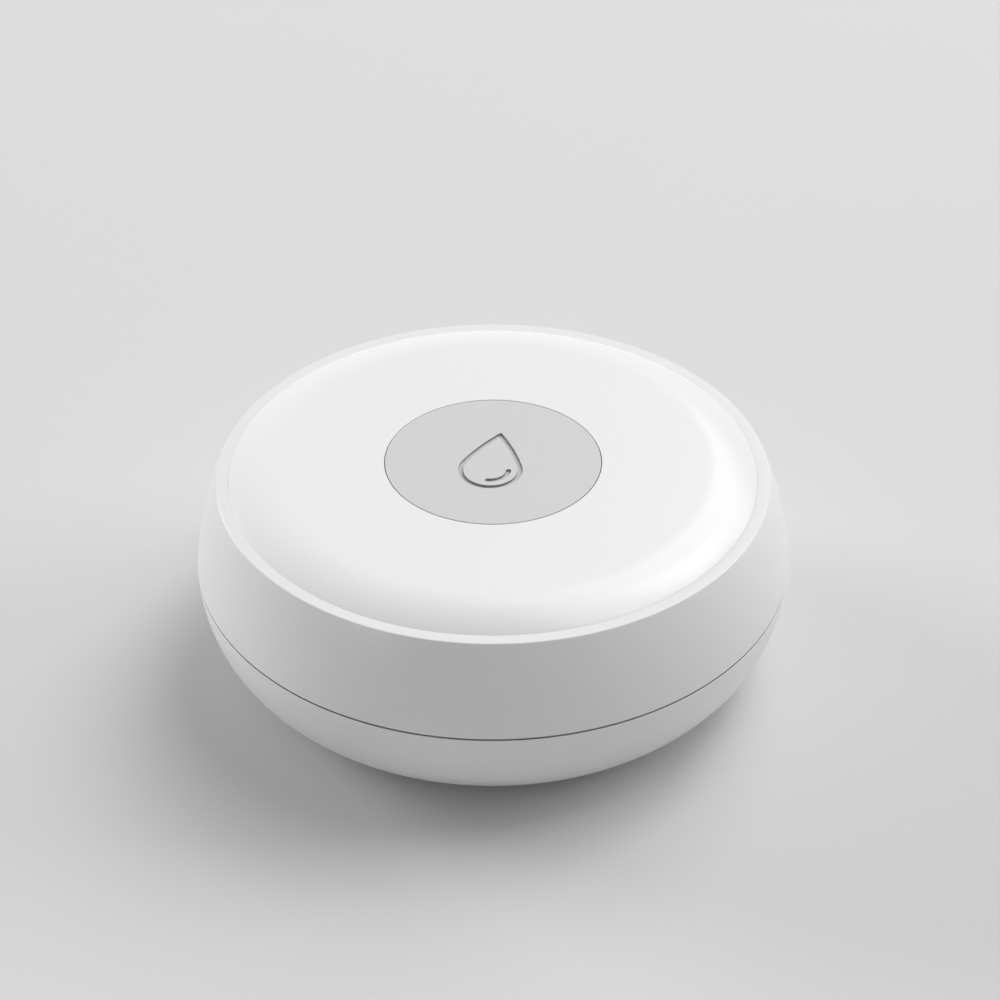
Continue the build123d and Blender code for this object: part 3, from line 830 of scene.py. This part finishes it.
def silicone():
    """Translucent compression-moulded silicone: milky, with a soft greasy sheen."""
    material = moulded(
        "silicone_moulded_milky",
        shades=("#DEDCD6", "#E4E2DD"),
        grain_size=0.4 * mm,
        grain_depth=0.001 * mm,
        roughness=(0.38, 0.46),
    )
    shader = material.node_tree.nodes["Principled BSDF"]
    shader.inputs["Subsurface Weight"].default_value = 0.4
    shader.inputs["Subsurface Scale"].default_value = 0.5 * mm
    shader.inputs["Subsurface Radius"].default_value = (1.0, 0.95, 0.85)
    return material


def plug_rubber():
    """Soft thermoplastic rubber, injection-moulded: light grey and matt."""
    return moulded(
        "tpe_moulded_grey",
        shades=("#C4C4C2", "#CACAC8"),
        grain_size=0.25 * mm,
        grain_depth=0.004 * mm,
        roughness=(0.62, 0.74),
    )


def chip_epoxy():
    """Transfer-moulded black epoxy: matt, with a coarse sparkle-free grain."""
    return moulded(
        "epoxy_moulded_black",
        shades=("#1B1C1E", "#242527"),
        grain_size=0.15 * mm,
        grain_depth=0.004 * mm,
        roughness=(0.5, 0.62),
    )


def buzzer_plastic():
    """Black PBT, injection-moulded: satin."""
    return moulded(
        "pbt_moulded_black",
        shades=("#17181A", "#1D1E20"),
        grain_size=0.3 * mm,
        grain_depth=0.002 * mm,
        roughness=(0.34, 0.44),
    )


def plunger_plastic():
    """Red-brown acetal, moulded and slippery: semi-gloss."""
    return moulded(
        "acetal_moulded_brown",
        shades=("#5B2A20", "#663126"),
        grain_size=0.4 * mm,
        grain_depth=0.001 * mm,
        roughness=(0.26, 0.34),
    )


def ceramic():
    """Fired alumina ceramic: off-white, fine-grained and slightly glossy."""
    return moulded(
        "alumina_fired_cream",
        shades=("#D8CDB8", "#E1D8C6"),
        grain_size=0.12 * mm,
        grain_depth=0.002 * mm,
        roughness=(0.3, 0.42),
    )


def led_lens():
    """Cast milky epoxy over the light: glossy."""
    return moulded(
        "epoxy_cast_milky",
        shades=("#E9E4CF", "#F0ECDC"),
        grain_size=0.5 * mm,
        grain_depth=0.0005 * mm,
        roughness=(0.12, 0.2),
    )


def screw_steel():
    """Zinc-plated steel: grey with a faint blue cast and soft cloudy gloss."""
    return metal(
        "steel_zinc_plated",
        shades=("#AEB3B8", "#BCC0C2"),
        grain_size=0.4 * mm,
        grain_depth=0.001 * mm,
        roughness=(0.28, 0.42),
    )


def spring_steel():
    """Nickel-plated spring strip: warm grey, with the fine lines of rolling along X."""
    return metal(
        "steel_rolled_nickel",
        shades=("#B9B4AA", "#C6C2B8"),
        grain_size=0.5 * mm,
        grain_depth=0.001 * mm,
        roughness=(0.2, 0.32),
        stretch=(1, 9, 9),
    )


def cell_steel():
    """Deep-drawn nickel-plated steel can: bright, with fine upright draw lines."""
    return metal(
        "steel_drawn_nickel",
        shades=("#BDBBB6", "#C9C7C2"),
        grain_size=0.6 * mm,
        grain_depth=0.001 * mm,
        roughness=(0.16, 0.26),
        stretch=(9, 9, 1),
    )


def disc_brass():
    """Lapped brass sheet: yellow and even."""
    return metal(
        "brass_lapped",
        shades=("#C9A35A", "#D4B06A"),
        grain_size=0.3 * mm,
        grain_depth=0.001 * mm,
        roughness=(0.24, 0.34),
    )


def shield_tin():
    """Tin-plated sheet steel: bright, with the coating's cloudy crystals."""
    return metal(
        "steel_tin_plated",
        shades=("#B9B8B3", "#CBCAC6"),
        grain_size=1.2 * mm,
        grain_depth=0.001 * mm,
        roughness=(0.22, 0.4),
    )


def board_laminate():
    """Green solder mask on glass laminate."""
    return laminate("laminate_green_mask", ("#1F5A38", "#266844"))


def radio_laminate():
    """Blue solder mask on glass laminate."""
    return laminate("laminate_blue_mask", ("#1C3A6E", "#24467F"))


def probe_metal():
    """Nickel-plated brass, turned: bright and warm, with the lathe's rings on each head."""
    wave_turn = 2 * pi / 20  # the wave texture's own period, at a scale of one
    material, tree, shader, place = new_material("brass_turned_nickel")
    shader.inputs["Metallic"].default_value = 1.0
    # The probes lie alike in the four quarters, so folding these onto one centres every head's rings.
    reach = probe_circle_radius * cos(radians(probe_angles[0]))
    folded = add(tree, "ShaderNodeVectorMath", links={"Vector": (place, "Object")}, operation="ABSOLUTE")
    centred = add(
        tree,
        "ShaderNodeMapping",
        {"Location": (-reach, -reach, 0)},
        {"Vector": (folded, "Vector")},
    )
    rings = add(
        tree,
        "ShaderNodeTexWave",
        {"Scale": wave_turn / ring_pitch, "Distortion": 0.4},
        {"Vector": (centred, "Vector")},
        wave_type="RINGS",
        rings_direction="Z",
    )
    texture(tree, shader, rings, depth=0.0008 * mm, roughness=(0.14, 0.26))
    tint(tree, shader, place, shade_drift, ("#CCC8C0", "#D6D2CB"))
    return material


def stage_floor():
    """Plain pale floor that fades into the pale surroundings far from the object."""
    floor_size = 6.0
    fade_start = 0.5  # from the object, where the floor begins to thin out
    fade_end = 1.4
    deselect()
    bpy.ops.mesh.primitive_plane_add(size=floor_size, location=(0, 0, 0))
    floor = bpy.context.object
    floor.name = "floor"
    material, tree, shader, place = new_material("pale_floor")
    shader.inputs["Base Color"].default_value = linear("#D7D7D7")
    shader.inputs["Roughness"].default_value = 0.8
    shader.inputs["Specular IOR Level"].default_value = 0.2
    reach = add(tree, "ShaderNodeVectorMath", links={"Vector": (place, "Object")}, operation="LENGTH")
    fade = add(
        tree,
        "ShaderNodeMapRange",
        {"From Min": fade_start, "From Max": fade_end},
        {"Value": (reach, "Value")},
        interpolation_type="SMOOTHSTEP",
    )
    clear = add(tree, "ShaderNodeBsdfTransparent")
    faded = add(
        tree,
        "ShaderNodeMixShader",
        links={0: (fade, "Result"), 1: (shader, "BSDF"), 2: (clear, "BSDF")},
    )
    tree.links.new(faded.outputs["Shader"], tree.nodes["Material Output"].inputs["Surface"])
    floor.data.materials.append(material)


def soft_light(name, azimuth, elevation, size, power):
    """Square softbox facing the object: its direction in degrees, its size in metres, its watts."""
    aim = Vector((0.0, 0.0, 12 * mm))
    distance = 2.6
    level = cos(radians(elevation))
    away = Vector((*on_circle(level, azimuth), sin(radians(elevation))))
    lamp = bpy.data.lights.new(name, "AREA")
    lamp.shape = "SQUARE"
    lamp.size = size
    lamp.energy = power
    item = bpy.data.objects.new(name, lamp)
    bpy.context.scene.collection.objects.link(item)
    item.location = aim + away * distance
    item.rotation_euler = (-away).to_track_quat("-Z", "Y").to_euler()


def camera():
    """The photograph's view: 36 degrees above the front, through a short telephoto lens."""
    lens = 90.0
    elevation = radians(35.77)
    distance = 251.7 * mm
    aim = Vector((0.69 * mm, 0.0, 17.475 * mm))
    data = bpy.data.cameras.new("camera")
    data.lens = lens
    data.clip_start = 10 * mm
    item = bpy.data.objects.new("camera", data)
    bpy.context.scene.collection.objects.link(item)
    away = Vector((0.0, -cos(elevation), sin(elevation)))
    item.location = aim + away * distance
    item.rotation_euler = (-away).to_track_quat("-Z", "Y").to_euler()
    bpy.context.scene.camera = item


def world():
    """Pale surroundings: they show and reflect as a pale wall, and light the object more weakly."""
    light_strength = 0.25
    wall_strength = 0.8
    scene_world = bpy.data.worlds.new("studio")
    bpy.context.scene.world = scene_world
    scene_world.use_nodes = True
    tree = scene_world.node_tree
    background = tree.nodes["Background"]
    background.inputs["Color"].default_value = linear("#FFFFFF")
    ray = add(tree, "ShaderNodeLightPath")
    seen = add(
        tree,
        "ShaderNodeMath",
        links={0: (ray, "Is Camera Ray"), 1: (ray, "Is Glossy Ray")},
        operation="MAXIMUM",
    )
    pale = add(
        tree,
        "ShaderNodeMath",
        links={0: (seen, "Value"), 1: (ray, "Is Transmission Ray")},
        operation="MAXIMUM",
    )
    strength = add(
        tree,
        "ShaderNodeMapRange",
        {"To Min": light_strength, "To Max": wall_strength},
        {"Value": (pale, "Value")},
    )
    tree.links.new(strength.outputs["Result"], background.inputs["Strength"])


def dress(piece, body, slot, node):
    """Gives a new piece its material, the body that it rides on and the node that it stands for."""
    piece.data.materials.clear()
    piece.data.materials.append(materials[slot])
    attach(piece, body)
    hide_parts(node)


finishes = (
    white_housing,
    white_cover,
    grey_button,
    white_door,
    silicone,
    plug_rubber,
    probe_metal,
    screw_steel,
    spring_steel,
    cell_steel,
    board_laminate,
    radio_laminate,
    shield_tin,
    ceramic,
    chip_epoxy,
    buzzer_plastic,
    disc_brass,
    led_lens,
    plunger_plastic,
)

camera()
world()
stage_floor()
soft_light("key_far_right", azimuth=60, elevation=45, size=1.6, power=22.5)
soft_light("high_right", azimuth=30, elevation=60, size=1.6, power=25.4)
soft_light("low_right", azimuth=15, elevation=24, size=1.2, power=18.8)
soft_light("low_left", azimuth=150, elevation=14, size=1.1, power=38.9)
soft_light("front_left_fill", azimuth=225, elevation=10, size=0.8, power=6.0)

materials = {finish.__name__: finish() for finish in finishes}
for node in frame["nodes"].values():
    for material_slot in node.material_slots:
        material_slot.material = materials[material_slot.material.name]

dress(upper_shell(), "housing", "white_housing", "upper_shell")
dress(lower_shell(), "housing", "white_housing", "lower_shell")
dress(top_cover(), "housing", "white_cover", "top_cover")
dress(button_cap(), "button", "grey_button", "button_cap")
dress(battery_door(), "door", "white_door", "battery_door")
dress(screw_plugs(), "housing", "plug_rubber", "screw_plugs")
dress(probe_pins(), "housing", "probe_metal", "probe_pins")

bpy.context.scene.view_settings.view_transform = "Standard"
